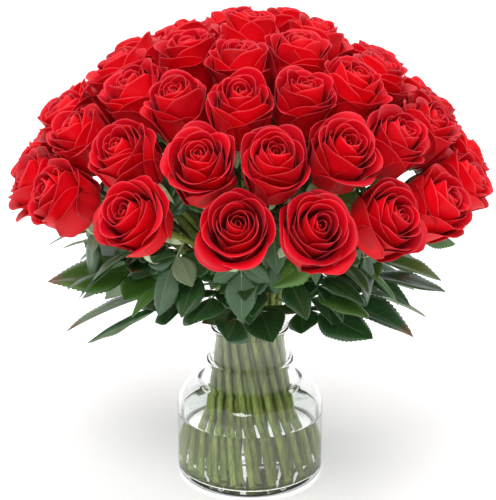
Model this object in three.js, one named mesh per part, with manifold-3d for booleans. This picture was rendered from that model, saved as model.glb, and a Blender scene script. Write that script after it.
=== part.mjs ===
// A bouquet of fifty-seven red roses standing in a clear glass bottle vase, half filled with water.
// Millimetres, +Z up. The origin is the centre of the vase's flat foot, and the front is -Y.
//
// Every rose is one grown piece: a stem, its bloom and, on the outer ring, its leaves. The stems are
// laid in a spiral, as a hand-made bouquet is: they are closest at the waist in the vase's neck, fan
// out below it to the glass floor, and bend outwards above it to a dome of blooms.
import * as THREE from "three";
import { mergeVertices } from "three/addons/utils/BufferGeometryUtils.js";
import Module from "manifold-3d";

// ---- Vase: a cylinder with a rounded shoulder, a slim neck with two raised rings, and a lip ----
const BODY_RADIUS = 70; // outside
const WALL = 2.8; // glass thickness everywhere but the floor
const FLOOR = 8; // glass thickness under the water
const HEEL_RADIUS = 9; // rounded lower edge
const SHOULDER_HEIGHT = 70; // where the straight wall ends
const SHOULDER_RISE = 27;
const SHOULDER_TUCK = 1.5; // how far inside the neck's foot its curve is centred
const NECK_CLEARANCE = 2.3; // between the neck's narrowest ring and the stems
const NECK_SPREAD = 10; // how much wider the neck is at its foot than at its waist
const MOUTH_SPREAD = 4; // and at its mouth
const NECK_WAIST_RISE = 52; // above the neck's foot
const MOUTH_RISE = 80;
const BEAD_RISES = [19, 52]; // raised rings round the neck, above its foot
const BEAD_RADIUS = 1.3;
const GLASS_SEGMENTS = 30;
const NECK_STEPS = 6;

// ---- Water ----
const WATER_LEVEL = 64;
const GAP = 0.3; // between pieces that touch

// ---- Stems ----
const STEM_RADIUS = 3.1;
const STEM_SIDES = 5;
const STEM_SPACE = 0.35; // between one stem and the next, where they are closest
const WAIST_DEPTH = 12; // how far below the mouth the stems are closest
const FOOT_CLEARANCE = 17.2; // from the outer ring's cut ends to the glass wall
const FOOT_CROWDING = 0.8; // below 1, the inner cut ends stand further out
const LOWER_TWIST = 42; // degrees that the spiral turns from waist to floor
const UPPER_TWIST = 26; // degrees that it turns from waist to bloom
const LOWER_STEPS = 1;
const UPPER_STEPS = 4;
const WAIST_PULL = 62; // how far the stem keeps its line above the waist
const BLOOM_PULL = 56; // how far it is already in line with the bloom below it

// ---- Blooms ----
const BLOOM_RADIUS = 27.5;
const BLOOM_HEIGHT = 1.82 * BLOOM_RADIUS;
const BLOOM_MIDDLE = 0.6 * BLOOM_HEIGHT; // from the stem to the point that sits on the dome
const BLOOM_PROFILE = [ // share of the radius, share of the height
  [0.64, 0.14],
  [1.0, 0.58],
  [0.66, 1.0],
  [0.0, 0.97],
];
const DOME_HEIGHT = 301; // of the middles of the lowest ring of blooms
// Ring by ring from the middle of the dome: how far out its blooms are and how far above the lowest
// ring, both in bloom radii, their lean from upright, and where each stands, in degrees from the front.
const RINGS = [
  { radius: 0, rise: 4.7, lean: 4, turns: [40] },
  { radius: 2.25, rise: 4.22, lean: 17, turns: [-60, -9, 43, 95, 146, 198, 249] },
  {
    radius: 4.25, rise: 3.24, lean: 34,
    turns: [-59, -32, -4, 23, 50, 78, 106, 134, 162, 190, 218, 246, 274],
  },
  {
    radius: 6.04, rise: 1.85, lean: 51,
    turns: [-64, -40, -14, 7, 28, 49, 70, 91, 112, 133, 154, 175, 196, 217, 237, 257, 277],
  },
  {
    radius: 7.13, rise: 0, lean: 69,
    turns: [-58, -30, -3, 16, 37, 56, 74, 92, 109, 127, 144, 162, 179, 197, 214, 232, 249, 267, 285],
  },
];
const PETALS_ROUND = 5; // lobes of the outermost petals
const LOBE_DEPTH = 0.05;
const HIP = { radius: 5.5, height: 9 }; // the green cup under the petals
const SEPALS = { radius: 20, drop: 5 }; // they curl down from the hip
const HEIGHT_SPREAD = 4; // blooms stand a little higher or lower than their ring
const LEAN_SPREAD = 3;
const SIZE_SPREAD = 0.025;

// ---- Leaves: three leaflets on one stalk. They hang in layers round the outer stems, and are smaller
// and flatter at the front, where the neck of the vase shows ----
const LEAF_THICKNESS = 1.2;
const LEAF_STALK = { length: 46, width: 2.6 };
const SIDE_LEAFLET = { length: 50, width: 34, splay: 56 };
const END_LEAFLET = { gap: 20, length: 74, width: 48 };
const LEAFLET_STEPS = 3; // points along each side of a leaflet
// The height over the mouth, how many, where they start, their turn about their stalks in degrees, their
// size, and how far the tips hang.
const LEAF_LAYERS = [
  { above: 8, count: 6, start: 0.3, roll: 7, size: 1.05, droop: 40, frontDroop: -3 },
  { above: 18, count: 6, start: 0.5, roll: 7, size: 1.1, droop: 40, frontDroop: 2 },
  { above: 46, count: 9, start: 0, roll: -7, size: 0.76, droop: 42, frontDroop: 20 },
  { above: 62, count: 9, start: 0.5, roll: 7, size: 0.72, droop: 42, frontDroop: 27 },
];
const FRONT_LEAF_SIZE = 0.68; // as a share of a side leaf's
const FRONT_LEAF_TURN = 5.2; // degrees that a front leaf turns aside from its stem

// The radius of a ring of stems at the waist: the first ring's stems stand side by side round the middle
// one, and each further ring lies round the last.
function waistRadius(ringNumber) {
  if (ringNumber === 0) return 0;
  const pitch = 2 * STEM_RADIUS + STEM_SPACE;
  return (RINGS[1].turns.length * (pitch + STEM_SPACE)) / (2 * Math.PI) + (ringNumber - 1) * pitch;
}

const OUTER_RING = RINGS.length - 1;
const NECK_FOOT = SHOULDER_HEIGHT + SHOULDER_RISE + 1; // heights
const MOUTH = NECK_FOOT + MOUTH_RISE;
const WAIST_HEIGHT = MOUTH - WAIST_DEPTH;
const FOOT = FLOOR + GAP; // the cut ends rest on the glass
const NECK_RADIUS = waistRadius(OUTER_RING) + STEM_RADIUS + NECK_CLEARANCE + WALL;
const FOOT_RADIUS = BODY_RADIUS - WALL - FOOT_CLEARANCE;

const wasm = await Module();
wasm.setup();
const UP = new THREE.Vector3(0, 0, 1);
const radians = THREE.MathUtils.degToRad;

// A steady variation between -1 and 1, different for each rose and each use.
const vary = (rose, use) => Math.sin(rose * 2.399963 * (use + 1) + use * 1.7);

// ---- Solids ----

function toSolid(geometry) {
  const bare = geometry.index ? geometry.toNonIndexed() : geometry.clone();
  const positions = new THREE.BufferGeometry().setAttribute("position", bare.getAttribute("position"));
  const merged = mergeVertices(positions, 1e-4);
  const mesh = new wasm.Mesh({
    numProp: 3,
    vertProperties: new Float32Array(merged.getAttribute("position").array),
    triVerts: new Uint32Array(merged.index.array),
  });
  return new wasm.Manifold(mesh);
}

function toGeometry(solid) {
  const mesh = solid.getMesh();
  const geometry = new THREE.BufferGeometry();
  geometry.setAttribute("position", new THREE.BufferAttribute(mesh.vertProperties, 3));
  geometry.setIndex(new THREE.BufferAttribute(mesh.triVerts, 1));
  geometry.computeVertexNormals();
  return geometry;
}

function lathe(profile, segments) {
  const geometry = new THREE.LatheGeometry(profile, segments);
  return geometry.rotateX(Math.PI / 2);
}

// ---- Vase ----

// Points on an ellipse from one angle to another, in degrees from the radial direction.
function ellipse(centre, runs, rises, from, to, steps) {
  return Array.from({ length: steps + 1 }, (_, i) => {
    const angle = radians(from + ((to - from) * i) / steps);
    return new THREE.Vector2(centre[0] + runs * Math.cos(angle), centre[1] + rises * Math.sin(angle));
  });
}

// The neck's outer line, as radius against height.
const neckLine = new THREE.SplineCurve([
  new THREE.Vector2(NECK_RADIUS + NECK_SPREAD, NECK_FOOT),
  new THREE.Vector2(NECK_RADIUS + NECK_SPREAD * 0.4, NECK_FOOT + NECK_WAIST_RISE * 0.4),
  new THREE.Vector2(NECK_RADIUS, NECK_FOOT + NECK_WAIST_RISE),
  new THREE.Vector2(NECK_RADIUS + MOUTH_SPREAD, MOUTH),
]);

function neckPoints(inset) {
  return neckLine.getPoints(NECK_STEPS).map((p) => new THREE.Vector2(p.x - inset, p.y));
}

// The same line with a half-round bead raised on it at each of its heights.
function beadedNeck() {
  const line = neckPoints(0);
  const heights = BEAD_RISES.map((rise) => NECK_FOOT + rise);
  const beads = heights.flatMap((height) => {
    const i = line.findIndex((p) => p.y > height);
    const share = (height - line[i - 1].y) / (line[i].y - line[i - 1].y);
    const radius = THREE.MathUtils.lerp(line[i - 1].x, line[i].x, share);
    return ellipse([radius, height], BEAD_RADIUS, BEAD_RADIUS, -90, 90, 2);
  });
  const clear = line.filter((p) => heights.every((h) => Math.abs(p.y - h) > BEAD_RADIUS * 1.5));
  return [...clear, ...beads].sort((a, b) => a.y - b.y);
}

function vaseProfile() {
  const shoulder = [NECK_RADIUS + NECK_SPREAD - SHOULDER_TUCK, SHOULDER_HEIGHT];
  const run = BODY_RADIUS - shoulder[0];
  const heel = [BODY_RADIUS - HEEL_RADIUS, HEEL_RADIUS];
  const innerHeel = HEEL_RADIUS - WALL;
  const lip = WALL / 2;
  return [
    new THREE.Vector2(0, 0),
    ...ellipse(heel, HEEL_RADIUS, HEEL_RADIUS, -90, 0, 3),
    ...ellipse(shoulder, run, SHOULDER_RISE, 0, 78, 5),
    ...beadedNeck(),
    ...ellipse([NECK_RADIUS + MOUTH_SPREAD - lip, MOUTH], lip, lip, 45, 135, 2),
    ...neckPoints(WALL).reverse(),
    ...ellipse(shoulder, run - WALL, SHOULDER_RISE - WALL, 70, 0, 4),
    ...ellipse([heel[0], FLOOR + innerHeel], innerHeel, innerHeel, 0, -90, 2),
    new THREE.Vector2(0, FLOOR),
  ];
}

// ---- Stems ----

function polar(radius, degrees, height) {
  const angle = radians(degrees);
  return new THREE.Vector3(radius * Math.cos(angle), radius * Math.sin(angle), height);
}

// A rose's place in the bouquet: its foot, waist and bloom. The feet and waists are spaced evenly round
// each ring, and the blooms stand where the ring says.
function placeOf(ringNumber, number, rose) {
  const ring = RINGS[ringNumber];
  const count = ring.turns.length;
  const middle = ring.turns.reduce((sum, turn) => sum + turn, 0) / count;
  const evenTurn = middle + ((number - (count - 1) / 2) * 360) / count - 90;
  const azimuth = ring.turns[number] - 90;
  const lean = radians(ring.lean + LEAN_SPREAD * vary(rose, 1));
  const axis = polar(Math.sin(lean), azimuth, Math.cos(lean));
  const outer = ringNumber === OUTER_RING;
  const height = DOME_HEIGHT + ring.rise * BLOOM_RADIUS + HEIGHT_SPREAD * vary(rose, 2);
  const centre = polar(ring.radius * BLOOM_RADIUS, azimuth, height);
  const size = 1 + SIZE_SPREAD * vary(rose, 3);
  const calyx = centre.clone().addScaledVector(axis, -BLOOM_MIDDLE * size);
  const waist = polar(waistRadius(ringNumber), evenTurn + UPPER_TWIST, WAIST_HEIGHT);
  const footRadius = FOOT_RADIUS * Math.pow(ringNumber / OUTER_RING, FOOT_CROWDING);
  const tilt = Math.atan(footRadius / WAIST_HEIGHT);
  const foot = polar(footRadius, evenTurn + UPPER_TWIST + LOWER_TWIST, FOOT + STEM_RADIUS * Math.sin(tilt));
  return { outer, number, foot, waist, calyx, axis, size, azimuth };
}

// A stem's centreline: straight from the floor to the waist, then one bend up to the bloom. It is
// stepped evenly along each of the two stretches, and so isn't measured by its length.
class StemLine extends THREE.Curve {
  constructor(place) {
    super();
    const rise = place.waist.clone().sub(place.foot).normalize();
    this.below = new THREE.LineCurve3(place.foot, place.waist);
    this.above = new THREE.CubicBezierCurve3(
      place.waist,
      place.waist.clone().addScaledVector(rise, WAIST_PULL),
      place.calyx.clone().addScaledVector(place.axis, -BLOOM_PULL),
      place.calyx.clone().addScaledVector(place.axis, -HIP.height / 3),
    );
    this.share = LOWER_STEPS / (LOWER_STEPS + UPPER_STEPS);
  }

  getPoint(t, target = new THREE.Vector3()) {
    const at =
      t < this.share
        ? this.below.getPoint(t / this.share)
        : this.above.getPoint((t - this.share) / (1 - this.share));
    return target.copy(at);
  }

  getUtoTmapping(u) {
    return u;
  }

  // The point on the upper stretch at a given height.
  atHeight(height) {
    let [low, high] = [0, 1];
    for (let i = 0; i < 30; i++) {
      const middle = (low + high) / 2;
      if (this.above.getPoint(middle).z < height) low = middle;
      else high = middle;
    }
    return this.above.getPoint(low);
  }
}

function polygon(sides, radius) {
  const corners = Array.from({ length: sides }, (_, i) => {
    const angle = (i / sides) * Math.PI * 2;
    return new THREE.Vector2(radius * Math.cos(angle), radius * Math.sin(angle));
  });
  return new THREE.Shape(corners);
}

function stemSolid(line) {
  const options = { extrudePath: line, steps: LOWER_STEPS + UPPER_STEPS, bevelEnabled: false };
  return toSolid(new THREE.ExtrudeGeometry(polygon(STEM_SIDES, STEM_RADIUS), options));
}

// A straight hole through the water for one stem.
function stemHole(place) {
  const along = place.waist.clone().sub(place.foot);
  const start = place.foot.clone().addScaledVector(along, -0.1);
  const path = new THREE.LineCurve3(start, place.foot.clone().addScaledVector(along, 0.6));
  const section = polygon(STEM_SIDES, STEM_RADIUS + GAP / Math.cos(Math.PI / STEM_SIDES));
  return toSolid(new THREE.ExtrudeGeometry(section, { extrudePath: path, steps: 1, bevelEnabled: false }));
}

// ---- Blooms ----

// The hip, the five sepals under the petals and the petals themselves, as one turned shape with five
// lobes. Each ring of points comes in between its lobes by its own share.
function bloomGeometry() {
  const rings = [
    [0, -HIP.height, 0],
    [SEPALS.radius, -SEPALS.drop, 1 - HIP.radius / SEPALS.radius],
    [HIP.radius, 0, 0],
    ...BLOOM_PROFILE.map(([radius, height]) => [radius * BLOOM_RADIUS, height * BLOOM_HEIGHT, LOBE_DEPTH]),
  ];
  const profile = rings.map(([radius, height]) => new THREE.Vector2(radius, height));
  const geometry = lathe(profile, PETALS_ROUND * 2);
  const at = geometry.getAttribute("position");
  for (let i = 0; i < at.count; i++) {
    const angle = Math.atan2(at.getY(i), at.getX(i));
    const valley = 0.5 - 0.5 * Math.cos(PETALS_ROUND * angle);
    const share = 1 - rings[i % rings.length][2] * valley;
    at.setXY(i, at.getX(i) * share, at.getY(i) * share);
  }
  return geometry;
}

function bloomSolid(place) {
  const turn = new THREE.Quaternion().setFromUnitVectors(UP, place.axis);
  const spin = new THREE.Quaternion().setFromAxisAngle(UP, radians(place.azimuth));
  const scale = new THREE.Vector3().setScalar(place.size);
  const matrix = new THREE.Matrix4().compose(place.calyx, turn.multiply(spin), scale);
  return toSolid(bloomGeometry().applyMatrix4(matrix));
}

// ---- Leaves ----

// One side of a leaflet as offsets along and across it, from the base to just short of the tip.
function leafletSide(leaflet) {
  return Array.from({ length: LEAFLET_STEPS }, (_, i) => {
    const along = (i + 0.55) / (LEAFLET_STEPS + 0.35);
    return [along * leaflet.length, (leaflet.width / 2) * Math.sin(Math.PI * Math.pow(along, 0.85))];
  });
}

// A leaflet's outline from one side of its base round its tip to the other.
function leafletOutline(leaflet, base, splay) {
  const angle = radians(splay);
  const place = ([along, across]) =>
    new THREE.Vector2(
      base[0] + along * Math.cos(angle) - across * Math.sin(angle),
      base[1] + along * Math.sin(angle) + across * Math.cos(angle),
    );
  const side = leafletSide(leaflet);
  const right = side.map(([along, across]) => place([along, -across]));
  const left = side.map(([along, across]) => place([along, across])).reverse();
  return [...right, place([leaflet.length, 0]), ...left];
}

function leafGeometry() {
  const half = LEAF_STALK.width / 2;
  const side = LEAF_STALK.length;
  const outline = [
    new THREE.Vector2(0, -half),
    new THREE.Vector2(side - half, -half),
    ...leafletOutline(SIDE_LEAFLET, [side, -half], -SIDE_LEAFLET.splay),
    new THREE.Vector2(side + half, -half),
    ...leafletOutline(END_LEAFLET, [side + END_LEAFLET.gap, 0], 0),
    new THREE.Vector2(side + half, half),
    ...leafletOutline(SIDE_LEAFLET, [side, half], SIDE_LEAFLET.splay),
    new THREE.Vector2(side - half, half),
    new THREE.Vector2(0, half),
  ];
  const options = { depth: LEAF_THICKNESS, bevelEnabled: false };
  return new THREE.ExtrudeGeometry(new THREE.Shape(outline), options);
}

// The layers that have a leaf on an outer stem.
function layersOn(stem, stems) {
  return LEAF_LAYERS.filter((layer) =>
    Array.from({ length: layer.count }, (_, k) => Math.round(((k + layer.start) * stems) / layer.count))
      .some((place) => place % stems === stem),
  );
}

function leafSolid(line, layer) {
  const root = line.atHeight(MOUTH + layer.above);
  const azimuth = Math.atan2(root.y, root.x);
  const front = Math.max(0, -Math.sin(azimuth));
  const size = layer.size * THREE.MathUtils.lerp(1, FRONT_LEAF_SIZE, front);
  const droop = THREE.MathUtils.lerp(layer.droop, layer.frontDroop, front);
  const reach = (LEAF_STALK.length + END_LEAFLET.gap + END_LEAFLET.length) * size;
  const geometry = leafGeometry().scale(size, size, 1);
  const at = geometry.getAttribute("position");
  for (let i = 0; i < at.count; i++) {
    const along = at.getX(i) / reach;
    at.setZ(i, at.getZ(i) - droop * along * along);
  }
  const turn = azimuth + radians(FRONT_LEAF_TURN) * front;
  return toSolid(geometry.rotateX(radians(layer.roll)).rotateZ(turn).translate(root.x, root.y, root.z));
}

// ---- The bouquet ----

const materials = {
  glass: new THREE.MeshStandardMaterial({
    color: 0xe4eee8, roughness: 0.03, metalness: 0, transparent: true, opacity: 0.3,
  }),
  water: new THREE.MeshStandardMaterial({
    color: 0xdce8dc, roughness: 0.02, metalness: 0, transparent: true, opacity: 0.35,
  }),
  rose: new THREE.MeshStandardMaterial({ color: 0xb8061a, roughness: 0.6, metalness: 0 }),
};

const bouquet = new THREE.Group();

function addPiece(name, geometry, material) {
  const mesh = new THREE.Mesh(geometry, material);
  mesh.name = name;
  bouquet.add(mesh);
}

const places = RINGS.flatMap((ring, ringNumber) => {
  const before = RINGS.slice(0, ringNumber).reduce((sum, inner) => sum + inner.turns.length, 0);
  return ring.turns.map((_, number) => placeOf(ringNumber, number, before + number));
});

places.forEach((place, i) => {
  const line = new StemLine(place);
  const layers = place.outer ? layersOn(place.number, RINGS[OUTER_RING].turns.length) : [];
  const rose = layers.reduce(
    (body, layer) => body.add(leafSolid(line, layer)),
    stemSolid(line).add(bloomSolid(place)),
  );
  addPiece(`rose_${String(i + 1).padStart(2, "0")}`, toGeometry(rose), materials.rose);
});

const waterRadius = BODY_RADIUS - WALL - GAP;
const waterHeel = HEEL_RADIUS - WALL;
const waterProfile = [
  new THREE.Vector2(0, FLOOR + GAP),
  ...ellipse([BODY_RADIUS - HEEL_RADIUS - GAP, FLOOR + GAP + waterHeel], waterHeel, waterHeel, -90, 0, 2),
  new THREE.Vector2(waterRadius, WATER_LEVEL),
  new THREE.Vector2(0, WATER_LEVEL),
];
const water = places.reduce(
  (body, place) => body.subtract(stemHole(place)),
  toSolid(lathe(waterProfile, GLASS_SEGMENTS)),
);

addPiece("vase", lathe(vaseProfile(), GLASS_SEGMENTS), materials.glass);
addPiece("water", toGeometry(water), materials.water);

export default bouquet;
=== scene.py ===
"""A bouquet of red roses in a clear glass bottle vase.

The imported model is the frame: it says where the vase, the water and every rose are. Each rose is made
of its petals, its calyx, its stem and its leaves. Metres, +Z up, the front is -Y.
"""

import math

import bpy
import numpy as np
from bpy.props import FloatProperty, FloatVectorProperty, IntProperty, PointerProperty
from mathutils import Matrix, Vector


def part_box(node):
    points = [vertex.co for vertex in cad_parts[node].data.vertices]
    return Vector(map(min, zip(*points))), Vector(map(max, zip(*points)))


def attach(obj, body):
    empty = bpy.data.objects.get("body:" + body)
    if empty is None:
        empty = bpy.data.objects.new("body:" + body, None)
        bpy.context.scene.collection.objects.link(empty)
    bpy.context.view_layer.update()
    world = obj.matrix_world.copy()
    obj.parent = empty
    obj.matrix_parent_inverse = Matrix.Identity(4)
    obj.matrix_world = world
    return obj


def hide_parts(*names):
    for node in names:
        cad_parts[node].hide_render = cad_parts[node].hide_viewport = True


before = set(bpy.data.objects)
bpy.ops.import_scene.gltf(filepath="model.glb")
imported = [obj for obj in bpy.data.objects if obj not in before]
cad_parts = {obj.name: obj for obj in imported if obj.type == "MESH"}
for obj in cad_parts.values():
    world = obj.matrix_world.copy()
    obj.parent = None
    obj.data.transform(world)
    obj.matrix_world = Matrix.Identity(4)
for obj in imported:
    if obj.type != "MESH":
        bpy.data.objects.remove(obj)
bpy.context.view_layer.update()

bl_info = {
    "name": "Roses in a Vase",
    "version": (1, 0, 0),
    "blender": (4, 5, 0),
    "location": "View3D > Sidebar > Roses",
    "description": "Makes a bouquet of roses from its petals to its stems, and its vase and water",
    "category": "Object",
}

BODY = "root"
BACKDROP = 1.05  # strength of the studio as it is seen, which burns it to white
MM = 0.001

# ---- The bouquet's layout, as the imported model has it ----
BLOOM_RADIUS = 27.5 * MM
BLOOM_HEIGHT = 1.82 * BLOOM_RADIUS
BLOOM_MIDDLE = 0.6 * BLOOM_HEIGHT  # from the stem to the point that sits on the dome
DOME_HEIGHT = 301 * MM  # of the middles of the lowest ring of blooms
# Ring by ring from the middle of the dome: how far out its blooms are and how far above the lowest
# ring, both in bloom radii, their lean from upright, and where each stands, in degrees from the front.
RINGS = (
    {"radius": 0, "rise": 4.7, "lean": 4, "turns": (40,)},
    {"radius": 2.25, "rise": 4.22, "lean": 17, "turns": (-60, -9, 43, 95, 146, 198, 249)},
    {
        "radius": 4.25, "rise": 3.24, "lean": 34,
        "turns": (-59, -32, -4, 23, 50, 78, 106, 134, 162, 190, 218, 246, 274),
    },
    {
        "radius": 6.04, "rise": 1.85, "lean": 51,
        "turns": (-64, -40, -14, 7, 28, 49, 70, 91, 112, 133, 154, 175, 196, 217, 237, 257, 277),
    },
    {
        "radius": 7.13, "rise": 0, "lean": 69,
        "turns": (
            -58, -30, -3, 16, 37, 56, 74, 92, 109, 127, 144, 162, 179, 197, 214, 232, 249, 267, 285,
        ),
    },
)
OUTER_RING = len(RINGS) - 1
HEIGHT_SPREAD = 4 * MM
LEAN_SPREAD = 3
UPWARD = 0.8  # the blooms face a little further up than their stems' ends do
SIZE_SPREAD = 0.025
HIP_HEIGHT = 9 * MM
STEM_RADIUS = 3.1 * MM
STEM_SPACE = 0.35 * MM
WAIST_DEPTH = 12 * MM  # how far below the mouth the stems are closest
FOOT_RADIUS = 50 * MM
FOOT_CROWDING = 0.8
LOWER_TWIST = 42
UPPER_TWIST = 26
WAIST_PULL = 62 * MM
BLOOM_PULL = 56 * MM

# ---- The vase and the water ----
BODY_RADIUS = 70 * MM
WALL = 2.8 * MM
FLOOR = 8 * MM
HEEL_RADIUS = 9 * MM
SHOULDER_HEIGHT = 70 * MM
SHOULDER_RISE = 27 * MM
SHOULDER_TUCK = 1.5 * MM
NECK_CLEARANCE = 2.3 * MM
NECK_SPREAD = 10 * MM
MOUTH_SPREAD = 4 * MM
NECK_FOOT = SHOULDER_HEIGHT + SHOULDER_RISE + 1 * MM
NECK_WAIST_RISE = 52 * MM
MOUTH = NECK_FOOT + 80 * MM
BEAD_RISES = (19 * MM, 52 * MM)
WATER_LEVEL = 64 * MM
GAP = 0.3 * MM

# ---- The leaves: three leaflets on one stalk, in layers up the outer stems ----
LEAF_STALK = 46 * MM
SIDE_LEAFLET = {"length": 50 * MM, "width": 34 * MM, "splay": 56}
END_LEAFLET = {"gap": 20 * MM, "length": 74 * MM, "width": 48 * MM}
LEAF_LAYERS = (  # height over the mouth, how many, where they start, roll, size, and how far the tips hang
    {"above": 8, "count": 6, "start": 0.3, "roll": 7, "size": 1.05, "droop": 40, "front_droop": -3},
    {"above": 18, "count": 6, "start": 0.5, "roll": 7, "size": 1.1, "droop": 40, "front_droop": 2},
    {"above": 46, "count": 9, "start": 0, "roll": -7, "size": 0.76, "droop": 42, "front_droop": 20},
    {"above": 62, "count": 9, "start": 0.5, "roll": 7, "size": 0.72, "droop": 42, "front_droop": 27},
)
FRONT_LEAF_SIZE = 0.68
FRONT_LEAF_TURN = 5.2
FILL_LAYERS = (  # between those, where the outer stems carry more
    {"above": 34, "count": 7, "start": 0.35, "roll": -9, "size": 1.08, "droop": 8, "front_droop": 4},
    {"above": 54, "count": 8, "start": 0.7, "roll": 10, "size": 0.9, "droop": 18, "front_droop": 10},
    {"above": 76, "count": 9, "start": 0.1, "roll": -5, "size": 0.7, "droop": 22, "front_droop": 16},
)
# ---- And the leaves that stand off each stem under its bloom ----
COLLAR_DEPTHS = (30 * MM, 58 * MM, 90 * MM)  # down the stem from the calyx
COLLAR_STALK = 16 * MM
COLLAR_GAP = 12 * MM  # from the side leaflets to the end one
COLLAR_DROOP = 12 * MM

# ---- Petals, from the heart of a bloom to its outermost petal ----
GOLDEN_TURN = math.radians(137.5)
PETAL_SEED, LEAF_SEED = 1000, 5000
PETAL_STEPS = (0.0, 0.25, 0.5, 0.75, 1.0)
PETAL_BELLY = (0.13, 0.37, 0.64, 0.91, 1.10)  # radius, as a share of the bloom's
PETAL_LENGTH = (0.84, 1.00, 1.11, 1.17, 1.20)  # as a share of the bloom's height
PETAL_WRAP = (125, 106, 86, 70, 60)  # half of what it goes round, in degrees
PETAL_LEAN = (-9, -9, -6, 2, 12)  # from upright at three quarters of its length
PETAL_TIP_LEAN = (-16, -6, 12, 42, 84)  # and at its rim
PETAL_BASE = (0.09, 0.06, 0.03, 0.01, 0.0)  # height of its foot, as a share of the bloom's height


# ================================ Settings ================================


class StageSettings(bpy.types.PropertyGroup):
    """The floor, the lights and the camera"""

    floor_radius: FloatProperty(
        name="Floor Radius", description="How far the floor reaches", default=9.0, unit="LENGTH"
    )
    sky: FloatProperty(name="Sky", description="Strength of the light from all round", default=0.85)
    glow: FloatProperty(name="Floor Glow", description="How much the floor shines by itself", default=0.16)
    key: FloatProperty(
        name="Key Light", description="Power of the light over the front", default=16.0, unit="POWER"
    )
    lens: FloatProperty(name="Lens", description="Focal length", default=111.8, unit="CAMERA")
    distance: FloatProperty(
        name="Distance", description="From the camera to the bouquet", default=1.45, unit="LENGTH"
    )
    elevation: FloatProperty(
        name="Elevation", description="How far the camera looks down", default=math.radians(19),
        subtype="ANGLE"
    )


class BloomSettings(bpy.types.PropertyGroup):
    """One bloom's petals"""

    petals: IntProperty(name="Petals", description="Petals in a bloom", default=25, min=8, max=60)
    across: IntProperty(name="Points Across", description="Points across an outer petal", default=13, min=5)
    along: IntProperty(name="Points Along", description="Points along an outer petal", default=13, min=5)
    thickness: FloatProperty(
        name="Thickness", description="Of a petal at its middle", default=0.45 * MM, unit="LENGTH",
        precision=5
    )
    oval: FloatProperty(name="Oval", description="How much longer than wide a bloom may be", default=0.14)
    red: FloatVectorProperty(
        name="Red", description="The petals' inner side", subtype="COLOR", size=3, default=(0.80, 0.0, 0.008)
    )
    deep: FloatVectorProperty(
        name="Deep Red", description="Their darker patches", subtype="COLOR", size=3,
        default=(0.52, 0.0, 0.006)
    )
    # The colour of the painted highlight along the petals' thin rims.
    rim: FloatVectorProperty(
        name="Rim", description="Their thin edges", subtype="COLOR", size=3, default=(0.86, 0.13, 0.16)
    )


class StemSettings(bpy.types.PropertyGroup):
    """Stems, hips and sepals"""

    radius: FloatProperty(
        name="Radius", description="Of a stem", default=2.75 * MM, unit="LENGTH", precision=5
    )
    sides: IntProperty(name="Sides", description="Points round a stem", default=12, min=3)
    prickles: IntProperty(name="Prickles", description="Prickles on a stem", default=9, min=0)
    green: FloatVectorProperty(
        name="Green", description="Of the stems", subtype="COLOR", size=3, default=(0.19, 0.245, 0.048)
    )
    sepal: FloatVectorProperty(
        name="Sepal", description="The sepals' pale side", subtype="COLOR", size=3, default=(0.56, 0.66, 0.42)
    )


class LeafSettings(bpy.types.PropertyGroup):
    """The leaves"""

    teeth: IntProperty(name="Teeth", description="Teeth along each edge of a leaflet", default=17, min=3)
    thickness: FloatProperty(
        name="Thickness", description="Of a leaflet", default=0.5 * MM, unit="LENGTH", precision=5
    )
    green: FloatVectorProperty(
        name="Green", description="The leaves' upper side", subtype="COLOR", size=3,
        default=(0.018, 0.075, 0.02)
    )
    pale: FloatVectorProperty(
        name="Underside", description="The leaves' lower side", subtype="COLOR", size=3,
        default=(0.19, 0.28, 0.15)
    )


class VaseSettings(bpy.types.PropertyGroup):
    """The glass and the water"""

    segments: IntProperty(name="Segments", description="Flats round the vase", default=144, min=24)
    bead: FloatProperty(
        name="Bead Radius", description="Of the rings round the neck", default=1.6 * MM, unit="LENGTH",
        precision=5
    )
    glass: FloatVectorProperty(
        name="Glass", description="Its tint", subtype="COLOR", size=3, default=(0.985, 0.995, 0.99)
    )
    water: FloatVectorProperty(
        name="Water", description="Its tint", subtype="COLOR", size=3, default=(0.975, 0.99, 0.97)
    )


SETTINGS = {
    "rose_stage": StageSettings,
    "rose_blooms": BloomSettings,
    "rose_stems": StemSettings,
    "rose_leaves": LeafSettings,
    "rose_vase": VaseSettings,
}


# ================================ The layout ================================


def vary(rose, use):
    """A steady variation between -1 and 1, different for each rose and each use."""
    return math.sin(rose * 2.399963 * (use + 1) + use * 1.7)


def polar(radius, degrees, height):
    angle = math.radians(degrees)
    return Vector((radius * math.cos(angle), radius * math.sin(angle), height))


def lerp(a, b, share):
    return a + (b - a) * share


def waist_radius(ring_number):
    """Of a ring of stems where they are closest."""
    if ring_number == 0:
        return 0
    pitch = 2 * STEM_RADIUS + STEM_SPACE
    first = len(RINGS[1]["turns"]) * (pitch + STEM_SPACE) / (2 * math.pi)
    return first + (ring_number - 1) * pitch


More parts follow.
